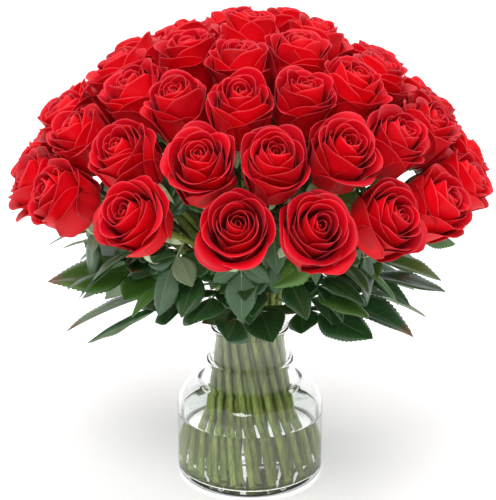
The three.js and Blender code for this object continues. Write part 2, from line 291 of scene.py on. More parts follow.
class Rose:
    """A rose's place in the bouquet: its foot, its waist, its calyx and the way its bloom faces."""

    def __init__(self, ring_number, number, index):
        ring = RINGS[ring_number]
        turns = ring["turns"]
        middle = sum(turns) / len(turns)
        even = middle + (number - (len(turns) - 1) / 2) * 360 / len(turns) - 90
        lean = math.radians(ring["lean"] + LEAN_SPREAD * vary(index, 1))
        height = DOME_HEIGHT + ring["rise"] * BLOOM_RADIUS + HEIGHT_SPREAD * vary(index, 2)
        foot_radius = FOOT_RADIUS * (ring_number / OUTER_RING) ** FOOT_CROWDING
        tilt = math.atan(foot_radius / (MOUTH - WAIST_DEPTH))
        foot_height = FLOOR + GAP + STEM_RADIUS * math.sin(tilt)
        self.name = f"rose_{index + 1:02d}"
        self.index = index
        self.number = number
        self.outer = ring_number == OUTER_RING
        self.azimuth = turns[number] - 90
        self.axis = polar(math.sin(lean), self.azimuth, math.cos(lean))
        self.size = 1 + SIZE_SPREAD * vary(index, 3)
        self.centre = polar(ring["radius"] * BLOOM_RADIUS, self.azimuth, height)
        self.calyx = self.centre - self.axis * BLOOM_MIDDLE * self.size
        face = math.radians((ring["lean"] + LEAN_SPREAD * vary(index, 1)) * UPWARD)
        self.face = polar(math.sin(face), self.azimuth, math.cos(face))
        self.heart = self.calyx + self.face * BLOOM_MIDDLE * self.size
        self.waist = polar(waist_radius(ring_number), even + UPPER_TWIST, MOUTH - WAIST_DEPTH)
        self.foot = polar(foot_radius, even + UPPER_TWIST + LOWER_TWIST, foot_height)

    def matrix(self):
        """From the bloom's own space, with its calyx at the origin and +Z out of its heart."""
        turn = Vector((0, 0, 1)).rotation_difference(self.face).to_matrix().to_4x4()
        spin = Matrix.Rotation(math.radians(self.azimuth), 4, "Z")
        return Matrix.Translation(self.calyx) @ turn @ spin @ Matrix.Scale(self.size, 4)

    def upper(self, share):
        """The stem's centreline from the waist to the hip."""
        rise = (self.waist - self.foot).normalized()
        a = self.waist
        b = a + rise * WAIST_PULL
        c = self.calyx - self.axis * BLOOM_PULL
        d = self.calyx - self.axis * HIP_HEIGHT / 3
        rest = 1 - share
        return a * rest**3 + b * 3 * rest**2 * share + c * 3 * rest * share**2 + d * share**3

    def below_calyx(self, depth):
        """A point on the stem and the direction the stem goes in there."""
        share, step_back = 1.0, 0.01
        while share > 0 and (self.upper(share) - self.calyx).length < depth:
            share -= step_back
        return self.upper(share), (self.upper(share + step_back) - self.upper(share)).normalized()

    def at_height(self, height):
        low, high = 0.0, 1.0
        for _ in range(30):
            middle = (low + high) / 2
            if self.upper(middle).z < height:
                low = middle
            else:
                high = middle
        return self.upper(low)


def lay_out():
    roses = []
    for ring_number, ring in enumerate(RINGS):
        for number in range(len(ring["turns"])):
            roses.append(Rose(ring_number, number, len(roses)))
    return roses


ROSES = lay_out()


def check_layout():
    """Every bloom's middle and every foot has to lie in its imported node's box."""
    for rose in ROSES:
        low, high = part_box(rose.name)
        for point in (rose.centre, rose.foot):
            if any(not low[i] - MM < point[i] < high[i] + MM for i in range(3)):
                raise ValueError(f"{rose.name} isn't where the packed model has it: {tuple(point)}")
    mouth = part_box("vase")[1].z
    if abs(mouth - MOUTH - WALL / 2) > MM:
        raise ValueError(f"the vase is {mouth} m tall in the packed model")


# ================================ Meshes ================================


def make_mesh(name, points, faces, materials=(), face_materials=None, uv=None, values=None, smooth=True):
    """A mesh from a list of points and faces. uv and values give each point's coordinates and numbers."""
    mesh = bpy.data.meshes.new(name)
    mesh.from_pydata(np.asarray(points, float).tolist(), [], faces)
    corners = np.zeros(len(mesh.loops), np.int32)
    mesh.loops.foreach_get("vertex_index", corners)
    if uv is not None:
        layer = mesh.uv_layers.new(name="surface")
        layer.data.foreach_set("uv", np.asarray(uv, np.float32)[corners].ravel())
    for key, numbers in (values or {}).items():
        attribute = mesh.attributes.new(key, "FLOAT", "POINT")
        attribute.data.foreach_set("value", np.asarray(numbers, np.float32))
    for material in materials:
        mesh.materials.append(material)
    if face_materials is not None:
        mesh.polygons.foreach_set("material_index", np.asarray(face_materials, np.int32))
    if smooth:
        mesh.shade_smooth()
    mesh.update()
    return mesh


def add_object(name, data):
    piece = bpy.data.objects.new(name, data)
    bpy.context.scene.collection.objects.link(piece)
    return piece


def finish_piece(piece, slot, *nodes):
    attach(piece, BODY)
    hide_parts(*nodes)
    return piece


def grid_normals(grid):
    along = np.gradient(grid, axis=0)
    across = np.gradient(grid, axis=1)
    normals = np.cross(across, along)
    length = np.linalg.norm(normals, axis=2, keepdims=True)
    return normals / np.maximum(length, 1e-12)


def shell(grid, thickness):
    """A closed thin shell on a grid of points. thickness may differ from point to point. The first half
    of its points lies on the side that the normals of the grid point to."""
    rows, columns = grid.shape[:2]
    offset = grid_normals(grid) * np.broadcast_to(thickness, (rows, columns))[..., None] / 2
    points = np.concatenate([(grid + offset).reshape(-1, 3), (grid - offset).reshape(-1, 3)])
    index = np.arange(rows * columns).reshape(rows, columns)
    a, b, c, d = index[:-1, :-1], index[:-1, 1:], index[1:, 1:], index[1:, :-1]
    upper = np.stack([a, b, c, d], -1).reshape(-1, 4)
    lower = upper[:, ::-1] + rows * columns
    loop = np.concatenate([index[0, :-1], index[:-1, -1], index[-1, :0:-1], index[:0:-1, 0]])
    ahead = np.roll(loop, -1)
    rim = np.stack([ahead, loop, loop + rows * columns, ahead + rows * columns], -1)
    return points, np.concatenate([upper, lower, rim])


def frames_along(line):
    """The directions across a line at each of its points, turned as little as they can be."""
    line = np.asarray(line, float)
    tangents = np.gradient(line, axis=0)
    tangents /= np.linalg.norm(tangents, axis=1, keepdims=True)
    side = np.cross(tangents[0], (0.0, 0.0, 1.0))
    if np.linalg.norm(side) < 1e-6:
        side = np.array((1.0, 0.0, 0.0))
    sides, ups = [], []
    for tangent in tangents:
        side = side - tangent * side.dot(tangent)
        side = side / np.linalg.norm(side)
        sides.append(side)
        ups.append(np.cross(tangent, side))
    return np.array(sides), np.array(ups)


def tube(line, radii, sides):
    """A closed round tube along a line."""
    line = np.asarray(line, float)
    right, up = frames_along(line)
    angles = np.arange(sides) * 2 * np.pi / sides
    radii = np.broadcast_to(radii, len(line))[:, None, None]
    ring = right[:, None] * np.cos(angles)[None, :, None] + up[:, None] * np.sin(angles)[None, :, None]
    points = (line[:, None] + ring * radii).reshape(-1, 3)
    index = np.arange(len(line) * sides).reshape(len(line), sides)
    ahead = np.roll(index, -1, axis=1)
    quads = np.stack([index[:-1], ahead[:-1], ahead[1:], index[1:]], -1).reshape(-1, 4)
    faces = quads.tolist() + [index[0, ::-1].tolist(), index[-1].tolist()]
    return points, faces


def lathe(profile, segments):
    """A closed turned shape. The profile starts and ends on the axis, and is seen with its outside on
    the right as it goes on."""
    radii, heights = np.asarray(profile, float)[1:-1].T
    angles = np.arange(segments) * 2 * np.pi / segments
    x = radii[:, None] * np.cos(angles)
    y = radii[:, None] * np.sin(angles)
    z = np.broadcast_to(heights[:, None], x.shape)
    points = np.stack([x, y, z], -1).reshape(-1, 3)
    points = np.concatenate([points, [(0, 0, profile[0][1]), (0, 0, profile[-1][1])]])
    index = np.arange(len(radii) * segments).reshape(len(radii), segments)
    ahead = np.roll(index, -1, axis=1)
    first, last = len(points) - 2, len(points) - 1
    faces = np.stack([index[:-1], ahead[:-1], ahead[1:], index[1:]], -1).reshape(-1, 4).tolist()
    faces += [[first, ahead[0, i], index[0, i]] for i in range(segments)]
    faces += [[last, index[-1, i], ahead[-1, i]] for i in range(segments)]
    return points, faces


class Joined:
    """Points, faces and numbers of many shapes, gathered into one mesh."""

    def __init__(self):
        self.points, self.faces, self.uv, self.values, self.materials = [], [], [], {}, []
        self.count = 0

    def add(self, points, faces, uv=None, material=0, **values):
        self.points.append(points)
        rows = faces.tolist() if isinstance(faces, np.ndarray) else faces
        self.faces += [[corner + self.count for corner in face] for face in rows]
        self.materials += [material] * len(rows)
        self.uv.append(np.zeros((len(points), 2)) if uv is None else uv)
        for key, numbers in values.items():
            self.values.setdefault(key, []).append(np.broadcast_to(numbers, len(points)))
        self.count += len(points)

    def mesh(self, name, materials):
        values = {key: np.concatenate(parts) for key, parts in self.values.items()}
        return make_mesh(
            name, np.concatenate(self.points), self.faces, materials, self.materials,
            np.concatenate(self.uv), values,
        )


# ================================ Nodes ================================


def add_node(tree, kind, inputs=None, **settings):
    """A node with its settings and its inputs, by name or number. An input is a value or an output."""
    node = tree.nodes.new(kind)
    for key, value in settings.items():
        setattr(node, key, value)
    for key, value in (inputs or {}).items():
        if isinstance(value, bpy.types.NodeSocket):
            tree.links.new(value, node.inputs[key])
        else:
            node.inputs[key].default_value = value
    return node


def maths(tree, operation, *values):
    return add_node(tree, "ShaderNodeMath", dict(enumerate(values)), operation=operation).outputs[0]


def mixed(tree, share, a, b, blend="MIX"):
    """A colour between a and b."""
    colours = {0: share, 6: a, 7: b}
    for key in (6, 7):
        if not isinstance(colours[key], bpy.types.NodeSocket):
            colours[key] = (*colours[key], 1)
    return add_node(tree, "ShaderNodeMix", colours, data_type="RGBA", blend_type=blend).outputs[2]


def step(tree, value, start, end, low=0.0, high=1.0):
    """Goes smoothly from low to high as the value goes from start to end."""
    inputs = {"Value": value, "From Min": start, "From Max": end, "To Min": low, "To Max": high}
    return add_node(tree, "ShaderNodeMapRange", inputs, interpolation_type="SMOOTHSTEP").outputs[0]


def noise(tree, vector, scale, detail=2.0, roughness=0.5):
    inputs = {"Vector": vector, "Scale": scale, "Detail": detail, "Roughness": roughness}
    return add_node(tree, "ShaderNodeTexNoise", inputs).outputs["Fac"]


def attribute(tree, name):
    return add_node(tree, "ShaderNodeAttribute", attribute_name=name).outputs["Fac"]


def surface_uv(tree):
    """The across and along coordinates of a petal or a leaf."""
    uv = add_node(tree, "ShaderNodeUVMap", uv_map="surface").outputs[0]
    split = add_node(tree, "ShaderNodeSeparateXYZ", {0: uv})
    return uv, split.outputs[0], split.outputs[1]


def object_place(tree):
    return add_node(tree, "ShaderNodeTexCoord").outputs["Object"]


def bump(tree, height, strength, distance):
    inputs = {"Height": height, "Strength": strength, "Distance": distance}
    return add_node(tree, "ShaderNodeBump", inputs).outputs[0]


def new_material(name, **inputs):
    """A material with one Principled shader. Its inputs' names have _ for each space."""
    material = bpy.data.materials.new(name)
    material.use_nodes = True
    tree = material.node_tree
    tree.nodes.clear()
    values = {key.replace("_", " "): value for key, value in inputs.items()}
    shader = add_node(tree, "ShaderNodeBsdfPrincipled", values)
    add_node(tree, "ShaderNodeOutputMaterial", {"Surface": shader.outputs[0]})
    return material, tree, shader


def connect(tree, shader, **inputs):
    for key, output in inputs.items():
        tree.links.new(output, shader.inputs[key.replace("_", " ")])


def petal_material(settings):
    """Velvety red, a little darker in patches, with painted shade at the petals' feet, fine veins along it
    and a painted highlight along its thin rim.
    """
    material, tree, shader = new_material(
        "petal", Sheen_Weight=0.10, Sheen_Roughness=0.35, Sheen_Tint=(1.0, 0.30, 0.42, 1),
        Specular_IOR_Level=0.25,
    )
    uv, across, along = surface_uv(tree)
    tone = attribute(tree, "tone")
    patches = noise(tree, object_place(tree), 45.0, 3.0, 0.6)
    shade = maths(tree, "ADD", maths(tree, "MULTIPLY", patches, 0.6), maths(tree, "MULTIPLY", tone, 0.6))
    colour = mixed(tree, step(tree, shade, 0.2, 0.75), settings.deep, settings.red)
    backs = maths(tree, "MULTIPLY", attribute(tree, "back"), 0.3)
    colour = mixed(tree, backs, colour, (0.60, 0.004, 0.03))
    # painted shade: the petals' feet, deep in the bloom, darken to a brownish red
    painted_shade_at_feet = step(tree, along, 0.30, 0.05, 0.0, 0.8)
    colour = mixed(tree, painted_shade_at_feet, colour, (0.30, 0.02, 0.01))
    edges = attribute(tree, "rim")
    # painted highlight: a thin pinkish light line along each petal's rim
    painted_rim_highlight = step(tree, edges, 0.98, 1.0, 0.0, 0.30)
    colour = mixed(tree, painted_rim_highlight, colour, settings.rim)
    stretch = add_node(tree, "ShaderNodeMapping", {"Vector": uv, "Scale": (34.0, 3.0, 1.0)}).outputs[0]
    veins = noise(tree, stretch, 1.0, 3.0, 0.6)
    velvet = noise(tree, object_place(tree), 900.0, 2.0)
    height = maths(tree, "ADD", veins, maths(tree, "MULTIPLY", velvet, 0.3))
    connect(tree, shader, Base_Color=colour, Normal=bump(tree, height, 0.35, 0.0006))
    connect(tree, shader, Roughness=step(tree, patches, 0.3, 0.7, 0.42, 0.56))
    return material


def green_material(settings):
    """A stem's green: olive, streaked and a little waxy."""
    material, tree, shader = new_material("stem", Specular_IOR_Level=0.4, Coat_Weight=0.1)
    place = object_place(tree)
    along = add_node(tree, "ShaderNodeMapping", {"Vector": place, "Scale": (1.0, 1.0, 0.12)}).outputs[0]
    streaks = noise(tree, along, 420.0, 3.0, 0.6)
    patches = noise(tree, place, 28.0, 2.0)
    pale = tuple(min(1.0, value * 1.9) for value in settings.green)
    dark = tuple(value * 0.55 for value in settings.green)
    colour = mixed(tree, step(tree, streaks, 0.35, 0.7), settings.green, pale)
    colour = mixed(tree, step(tree, patches, 0.45, 0.75, 0.0, 0.8), colour, dark)
    woody = step(tree, noise(tree, place, 9.0), 0.55, 0.75, 0.0, 0.5)
    colour = mixed(tree, woody, colour, (0.22, 0.17, 0.05))
    connect(tree, shader, Base_Color=colour, Normal=bump(tree, streaks, 0.3, 0.0006))
    connect(tree, shader, Roughness=step(tree, patches, 0.3, 0.7, 0.38, 0.55))
    return material


def sepal_material(settings):
    """Pale, downy green that is whiter on the inner side."""
    material, tree, shader = new_material(
        "sepal", Sheen_Weight=0.3, Sheen_Roughness=0.5, Specular_IOR_Level=0.3,
    )
    place = object_place(tree)
    mottle = noise(tree, place, 160.0, 3.0, 0.6)
    inner = attribute(tree, "inner")
    green = tuple(value * share for value, share in zip(settings.sepal, (0.38, 0.60, 0.36)))
    white = tuple(min(1.0, value * 1.35) for value in settings.sepal)
    colour = mixed(tree, step(tree, mottle, 0.3, 0.7), green, settings.sepal)
    colour = mixed(tree, maths(tree, "MULTIPLY", inner, 0.8), colour, white)
    down = noise(tree, place, 1400.0, 1.0)
    connect(tree, shader, Base_Color=colour, Normal=bump(tree, down, 0.3, 0.0004))
    connect(tree, shader, Roughness=step(tree, mottle, 0.3, 0.7, 0.55, 0.7))
    return material


def leaf_material(settings):
    """Glossy dark green above, dull pale green below, with a light midrib and sunken side veins."""
    material, tree, shader = new_material(
        "leaf", Specular_IOR_Level=0.5, Coat_Weight=0.12, Coat_Roughness=0.2,
    )
    uv, across, along = surface_uv(tree)
    place = object_place(tree)
    tone = attribute(tree, "tone")
    side = maths(tree, "ABSOLUTE", across)
    mottle = noise(tree, place, 60.0, 3.0, 0.6)
    bright = (0.085, 0.22, 0.03)
    colour = mixed(tree, step(tree, mottle, 0.3, 0.75, 0.0, 0.45), settings.green, (0.035, 0.125, 0.03))
    colour = mixed(tree, step(tree, tone, 0.62, 0.95), colour, bright)
    # Side veins leave the midrib at a slant.
    slant = maths(tree, "SUBTRACT", along, maths(tree, "MULTIPLY", side, 0.22))
    wobble = maths(tree, "MULTIPLY", maths(tree, "SUBTRACT", mottle, 0.5), 0.02)
    ripple = maths(tree, "SINE", maths(tree, "MULTIPLY", maths(tree, "ADD", slant, wobble), 2 * math.pi * 9))
    side_veins = step(tree, ripple, 0.9, 1.0)
    midrib = step(tree, side, 0.075, 0.02)
    veins = maths(tree, "MAXIMUM", midrib, maths(tree, "MULTIPLY", side_veins, 0.4))
    colour = mixed(tree, maths(tree, "MULTIPLY", veins, 0.55), colour, (0.16, 0.27, 0.09))
    under = mixed(tree, step(tree, mottle, 0.3, 0.75, 0.0, 0.5), settings.pale, (0.11, 0.19, 0.09))
    under = mixed(tree, maths(tree, "MULTIPLY", veins, 0.5), under, (0.33, 0.40, 0.22))
    colour = mixed(tree, attribute(tree, "under"), colour, under)
    dryness = maths(tree, "MULTIPLY", attribute(tree, "dry"), step(tree, along, 0.78, 0.93))
    colour = mixed(tree, dryness, colour, (0.20, 0.10, 0.035))
    cells = noise(tree, place, 700.0, 2.0)
    height = maths(tree, "ADD", maths(tree, "MULTIPLY", veins, -1.2), maths(tree, "MULTIPLY", cells, 0.35))
    connect(tree, shader, Base_Color=colour, Normal=bump(tree, height, 0.4, 0.0006))
    connect(tree, shader, Roughness=step(tree, attribute(tree, "under"), 0.0, 1.0, 0.34, 0.62))
    return material


def clear_material(name, tint, ior):
    """Clear glass or water that lets the light through to what is behind it."""
    material, tree, shader = new_material(
        name, Base_Color=(*tint, 1), Roughness=0.0, IOR=ior, Transmission_Weight=1.0,
    )
    through = add_node(tree, "ShaderNodeBsdfTransparent", {"Color": (*tint, 1)}).outputs[0]
    shadow = add_node(tree, "ShaderNodeLightPath").outputs["Is Shadow Ray"]
    output = next(node for node in tree.nodes if node.type == "OUTPUT_MATERIAL")
    mix = add_node(tree, "ShaderNodeMixShader", {0: shadow, 1: shader.outputs[0], 2: through}).outputs[0]
    tree.links.new(mix, output.inputs["Surface"])
    return material


def floor_material(glow):
    """A pale sheet that glows where it is seen but not in bounced light, with a painted pool of light under
    the glass and painted light that brightens it away from the vase.
    """
    material, tree, shader = new_material("floor", Specular_IOR_Level=0.1, Emission_Color=(1, 1, 1, 1))
    grain = noise(tree, object_place(tree), 4.0)
    colour = mixed(tree, grain, (0.93, 0.93, 0.93), (0.95, 0.95, 0.95))
    bounced = add_node(tree, "ShaderNodeLightPath").outputs["Is Diffuse Ray"]
    seen = maths(tree, "SUBTRACT", 1.0, bounced)
    connect(tree, shader, Base_Color=colour, Roughness=step(tree, grain, 0.0, 1.0, 0.7, 0.8))
    away = add_node(tree, "ShaderNodeVectorMath", {0: object_place(tree)}, operation="LENGTH").outputs[1]
    # painted light: a pool of glow on the floor under the glass foot, in place of light through the glass
    painted_light_under_glass = step(tree, away, BODY_RADIUS + 2 * MM, BODY_RADIUS - 10 * MM, 0.0, 0.8)
    # painted light: the floor grows brighter away from the vase, so grey shade stays only near its base
    near = step(tree, away, 0.12, 0.75, 0.0, 0.25)
    strength = maths(tree, "ADD", maths(tree, "ADD", painted_light_under_glass, near), glow)
    connect(tree, shader, Emission_Strength=maths(tree, "MULTIPLY", seen, strength))
    return material


# ================================ Petals ================================


def petal_profile(length, foot, base, belly, lean, tip_lean):
    """The middle line of a petal as distance from the axis and height. It swells out of the hip to its
    belly and then leans in or out, up to its rim."""
    share = np.linspace(0, 1, 60)
    swell_end = 0.45
    swell = 2 * math.asin(min(0.95, (belly - foot) / (swell_end * length)))
    turns = [swell, 0.04, math.radians(lean), math.radians(tip_lean)]
    angles = np.interp(share, [0, swell_end, 0.75, 1], turns)
    stride = length / (len(share) - 1)
    radius = foot + np.concatenate([[0], np.cumsum(np.sin(angles[1:]) * stride)])
    height = base + np.concatenate([[0], np.cumsum(np.cos(angles[1:]) * stride)])
    return share, np.maximum(radius, 0.6 * MM), height, angles


def petal_grid(place, random, openness, settings):
    """A petal's points. place runs from 0 at the heart to 1 at the outermost petal."""
    def at(values):
        return float(np.interp(place, PETAL_STEPS, values))

    length = at(PETAL_LENGTH) * BLOOM_HEIGHT * random.uniform(0.94, 1.05)
    belly = at(PETAL_BELLY) * BLOOM_RADIUS * random.uniform(0.96, 1.04)
    lean = at(PETAL_LEAN) + place * (openness * 8 + random.uniform(-7, 6))
    tip_lean = at(PETAL_TIP_LEAN) + place * (openness * 24 + random.uniform(-34, 24))
    foot = lerp(1.5, 4.0, place) * MM
    share, radius, height, angles = petal_profile(
        length, foot, at(PETAL_BASE) * BLOOM_HEIGHT, belly, lean, tip_lean
    )
    fine = place > 0.3
    columns = settings.across if fine else settings.across - 2
    rows = settings.along if fine else settings.along - 3
    u = np.linspace(-1, 1, columns)[None, :]
    v = (1 - (1 - np.linspace(0, 1, rows)) ** 1.25)[:, None]
    shoulder = lerp(0.16, 0.30, place) + random.uniform(-0.03, 0.03)
    skew = random.uniform(-0.06, 0.06)
    top = 1 - shoulder * np.abs(u) ** 2.4 + skew * u
    top += 0.018 * place * np.sin(u * random.uniform(4, 7) + random.uniform(0, 6))
    s = np.clip(v * top, 0, 1)
    r = np.interp(s, share, radius)
    z = np.interp(s, share, height)
    lean_here = np.interp(s, share, angles)
    wrap = math.radians(at(PETAL_WRAP)) * random.uniform(0.93, 1.07)
    narrow = np.minimum(1, 1.04 * belly / np.maximum(r, 1e-4)) * (1 - 0.10 * v**4)
    angle = u * wrap * narrow
    # One edge lies under the next petal, and the other over the last one.
    tuck = lerp(0.8, 1.5, place) * MM
    r = r + tuck * u * np.minimum(1, v * 2)
    # The sides of an outer petal roll back, and its rim waves.
    roll = lerp(0.0, 5.2, max(0.0, place - 0.25)) * MM * random.uniform(0.6, 1.3)
    back = roll * np.abs(u) ** 3 * v**2
    wave = lerp(0.15, 1.0, place) * MM * np.sin(u * random.uniform(3, 6) + random.uniform(0, 6)) * v**4
    r = r + (back + wave) * np.cos(lean_here)
    z = z - (back + wave) * np.sin(lean_here) - back * 0.4
    grid = np.stack([r * np.cos(angle), r * np.sin(angle), z], -1)
    rim = np.maximum(np.broadcast_to(v, s.shape), np.abs(u) ** 0.7 * np.minimum(1, v * 3))
    return grid, np.broadcast_to(u, s.shape), np.broadcast_to(v, s.shape), rim


def press(points, rose, near):
    """Keeps a bloom's points on its own side of the plane midway to each neighbour, as if the blooms
    pressed against each other."""
    softness = 4.5 * MM
    for other in near:
        way = np.array(other.heart - rose.heart)
        distance = np.linalg.norm(way)
        way /= distance
        limit = distance / 2 - 0.5 * MM - softness
        reach = (points - np.array(rose.heart)) @ way
        over = np.maximum(0, reach - limit)
        points = points - np.outer(over - softness * (1 - np.exp(-over / softness)), way)
    return points


def bloom_mesh(rose, settings, material):
    random = np.random.default_rng(PETAL_SEED + rose.index)
    openness = random.uniform(-0.7, 0.7)
    hand = random.choice((-1, 1))
    start = random.uniform(0, 2 * math.pi)
    near = [
        other for other in ROSES
        if other is not rose and (other.heart - rose.heart).length < 3 * BLOOM_RADIUS
    ]
    to_world = np.array(rose.matrix())
    longer = 1 + settings.oval * (0.7 if rose.outer else random.uniform(-0.3, 0.8))
    joined = Joined()
    for k in range(settings.petals):
        place = (k / (settings.petals - 1)) ** 0.92
        grid, u, v, rim = petal_grid(place, random, openness, settings)
        turn = start + hand * (k * GOLDEN_TURN + random.uniform(-0.3, 0.3))
        tilt = random.uniform(-0.08, 0.08) * place
        c, s = math.cos(turn), math.sin(turn)
        x = grid[..., 0] + tilt * grid[..., 2]
        y = grid[..., 1] * hand
        grid = np.stack([(x * c - y * s) * longer, x * s + y * c, grid[..., 2]], -1)
        world = grid.reshape(-1, 3) @ to_world[:3, :3].T + to_world[:3, 3]
        world = press(world, rose, near).reshape(grid.shape)
        thickness = settings.thickness * (1 - 0.55 * rim**3)
        points, faces = shell(world, thickness)
        inside = 1 if hand > 0 else 0
        half = u.size
        uv = np.stack([u.ravel() + 3 * k, v.ravel()], -1)
        outer_side = np.concatenate([np.full(half, 1 - inside), np.full(half, inside)])
        joined.add(
            points, faces, np.concatenate([uv, uv]), back=outer_side,
            tone=random.uniform(0, 1), rim=np.tile(rim.ravel(), 2),
        )
    return joined.mesh(rose.name + "_petals", [material])


# ================================ Calyces ================================

SEPAL_LENGTH = 34 * MM
SEPAL_WIDTH = 7.5 * MM


def sepal_mesh(material):
    """One sepal that leaves the hip along +X and curls down to a thin tip."""
    v = np.linspace(0, 1, 12)[:, None]
    u = np.linspace(-1, 1, 5)[None, :]
    half = SEPAL_WIDTH / 2 * (0.9 - 0.55 * v - 0.3 * v**3 + 0.25 * np.sin(np.pi * v)) * (1 - 0.94 * v**8)
    bend = np.radians(5 + 120 * v)  # from level to straight down and back under
    stride = SEPAL_LENGTH / 11
    x = np.concatenate([[[0]], np.cumsum(np.cos(bend[1:]) * stride, axis=0)])
    z = np.concatenate([[[0]], -np.cumsum(np.sin(bend[1:]) * stride, axis=0)])
    y = u * half
    cup = 1.1 * MM * (1 - v) * u**2
    grid = np.stack([x + 0 * u, y, z + cup], -1)
    points, faces = shell(grid, 0.7 * MM * (1 - 0.6 * v))
    joined = Joined()
    joined.add(points, faces, inner=np.repeat((1.0, 0.0), grid.shape[0] * grid.shape[1]))
    return joined.mesh("sepal", [material])


def hip_mesh(material):
    """The green cup that holds the petals, swelling from the stem."""
    profile = [
        (0, -9.5), (2.6, -9.5), (3.0, -8), (3.6, -6.6), (5.0, -5.2), (6.1, -3.6), (6.5, -2.0),
        (6.0, -0.4), (6.6, 0.9), (4.2, 1.6), (0, 1.6),
    ]
    points, faces = lathe([(r * MM, z * MM) for r, z in profile], 20)
    joined = Joined()
    joined.add(points, faces, inner=0.0)
    return joined.mesh("hip", [material])


def group_input(tree, name, kind, default):
    item = tree.interface.new_socket(name=name, in_out="INPUT", socket_type=kind)
    item.default_value = default
    return item


def new_geometry_tree(name):
    tree = bpy.data.node_groups.new(name, "GeometryNodeTree")
    tree.interface.new_socket(name="Geometry", in_out="INPUT", socket_type="NodeSocketGeometry")
    tree.interface.new_socket(name="Geometry", in_out="OUTPUT", socket_type="NodeSocketGeometry")
    return tree


def end_tree(tree, geometry, material):
    """Realizes the instances, sets the material and joins the tree's output."""
    whole = add_node(tree, "GeometryNodeRealizeInstances", {"Geometry": geometry}).outputs[0]
    painted = add_node(tree, "GeometryNodeSetMaterial", {"Geometry": whole, "Material": material}).outputs[0]
    add_node(tree, "NodeGroupOutput", {0: painted})


def evaluated_mesh(holder, tree, name, **inputs):
    """The mesh that a geometry tree makes from an object. The object keeps no modifier."""
    modifier = holder.modifiers.new("geometry", "NODES")
    modifier.node_group = tree
    sockets = {item.name: item.identifier for item in tree.interface.items_tree if item.in_out == "INPUT"}
    for key, value in inputs.items():
        modifier[sockets[key]] = value
    bpy.context.view_layer.update()
    graph = bpy.context.evaluated_depsgraph_get()
    made = holder.evaluated_get(graph)
    mesh = bpy.data.meshes.new_from_object(made, preserve_all_data_layers=True, depsgraph=graph)
    mesh.name = name
    holder.modifiers.remove(modifier)
    return mesh


def calyx_tree(sepal, material):
    """Five sepals round the hip, each turned and curled a little differently."""
    tree = new_geometry_tree("calyx")
    for name, kind, default in (
        ("Sepals", "NodeSocketInt", 5), ("Radius", "NodeSocketFloat", 5.2 * MM),
        ("Spread", "NodeSocketFloat", 0.35), ("Lift", "NodeSocketFloat", 0.0), ("Seed", "NodeSocketInt", 1),
    ):
        group_input(tree, name, kind, default)
    given = add_node(tree, "NodeGroupInput").outputs
    circle = add_node(
        tree, "GeometryNodeMeshCircle", {"Vertices": given["Sepals"], "Radius": given["Radius"]}
    ).outputs[0]
    place = add_node(tree, "GeometryNodeInputPosition").outputs[0]
    outward = add_node(
        tree, "FunctionNodeAlignRotationToVector", {"Vector": place}, axis="X", pivot_axis="Z"
    ).outputs[0]
    other_way = maths(tree, "MULTIPLY", given["Spread"], -1.0)
    low = add_node(tree, "ShaderNodeCombineXYZ", {0: -0.25, 1: other_way, 2: -0.2})
    high = add_node(tree, "ShaderNodeCombineXYZ", {0: 0.25, 1: given["Spread"], 2: 0.2})
    turns = add_node(
        tree, "FunctionNodeRandomValue",
        {"Min": low.outputs[0], "Max": high.outputs[0], "Seed": given["Seed"]}, data_type="FLOAT_VECTOR",
    ).outputs[0]
    lift = add_node(tree, "ShaderNodeCombineXYZ", {1: given["Lift"]}).outputs[0]
    turns = add_node(tree, "ShaderNodeVectorMath", {0: turns, 1: lift}, operation="ADD").outputs[0]
    turned = add_node(
        tree, "FunctionNodeRotateRotation", {0: outward, 1: turns}, rotation_space="LOCAL"
    ).outputs[0]
    sizes = add_node(
        tree, "FunctionNodeRandomValue", {2: 0.8, 3: 1.25, "Seed": given["Seed"]}, data_type="FLOAT"
    ).outputs[1]
    shape = add_node(tree, "GeometryNodeObjectInfo", {"Object": sepal}).outputs["Geometry"]
    sepals = add_node(
        tree, "GeometryNodeInstanceOnPoints",
        {"Points": circle, "Instance": shape, "Rotation": turned, "Scale": sizes},
    ).outputs[0]
    joined = add_node(tree, "GeometryNodeJoinGeometry", {0: given["Geometry"]})
    tree.links.new(sepals, joined.inputs[0])
    end_tree(tree, joined.outputs[0], material)
    return tree


# ================================ Stems ================================


def prickle_mesh(material):
    """A small hooked prickle that stands up along +Z."""
    line = [(0, 0, -0.6), (0.0, 0, 0.6), (0.15, 0, 1.5), (0.5, 0, 2.4), (1.1, 0, 3.1)]
    points, faces = tube(np.array(line) * MM, np.array((1.5, 1.15, 0.7, 0.35, 0.08)) * MM, 6)
    joined = Joined()
    joined.add(points, faces)
    return joined.mesh("prickle", [material])


def stem_curve(rose):
    """The stem's centreline: straight from the floor to the waist, then one bend up to the bloom."""
    lower = [rose.foot.lerp(rose.waist, i / 8) for i in range(8)]
    upper = [rose.upper(i / 22) for i in range(23)]
    curve = bpy.data.curves.new(rose.name + "_line", "CURVE")
    curve.dimensions = "3D"
    spline = curve.splines.new("POLY")
    spline.points.add(len(lower + upper) - 1)
    for point, place in zip(spline.points, lower + upper):
        point.co = (*place, 1)
    return curve


